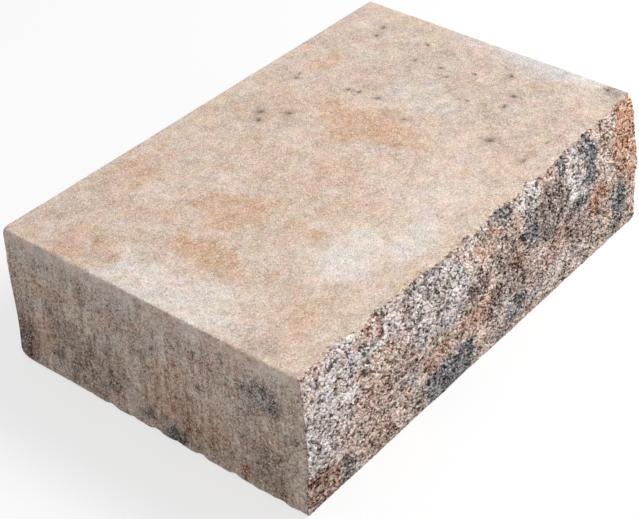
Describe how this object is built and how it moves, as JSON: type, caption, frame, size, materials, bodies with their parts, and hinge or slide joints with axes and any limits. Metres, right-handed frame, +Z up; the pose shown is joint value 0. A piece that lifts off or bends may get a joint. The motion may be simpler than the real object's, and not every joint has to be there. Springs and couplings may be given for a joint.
{
  "type": "concrete block step",
  "caption": "Solid concrete block that makes one outdoor step: flat moulded tread, bed, back and ends, and a rough split riser whose brow is broken back.",
  "frame": {"origin": "centre of the footprint's box, on the bed face", "axes": "+X along the riser to the right of someone facing it, +Y from the riser to the back, +Z up, out of the tread"},
  "size_m": [0.6, 0.38, 0.16],
  "materials": {
    "concrete": "matt dry-cast concrete, blended sand, buff and grey; sandy moulded faces and a coarse split riser of bare aggregate"
  },
  "bodies": {
    "root": {"block_step": "concrete"}
  },
  "joints": []
}
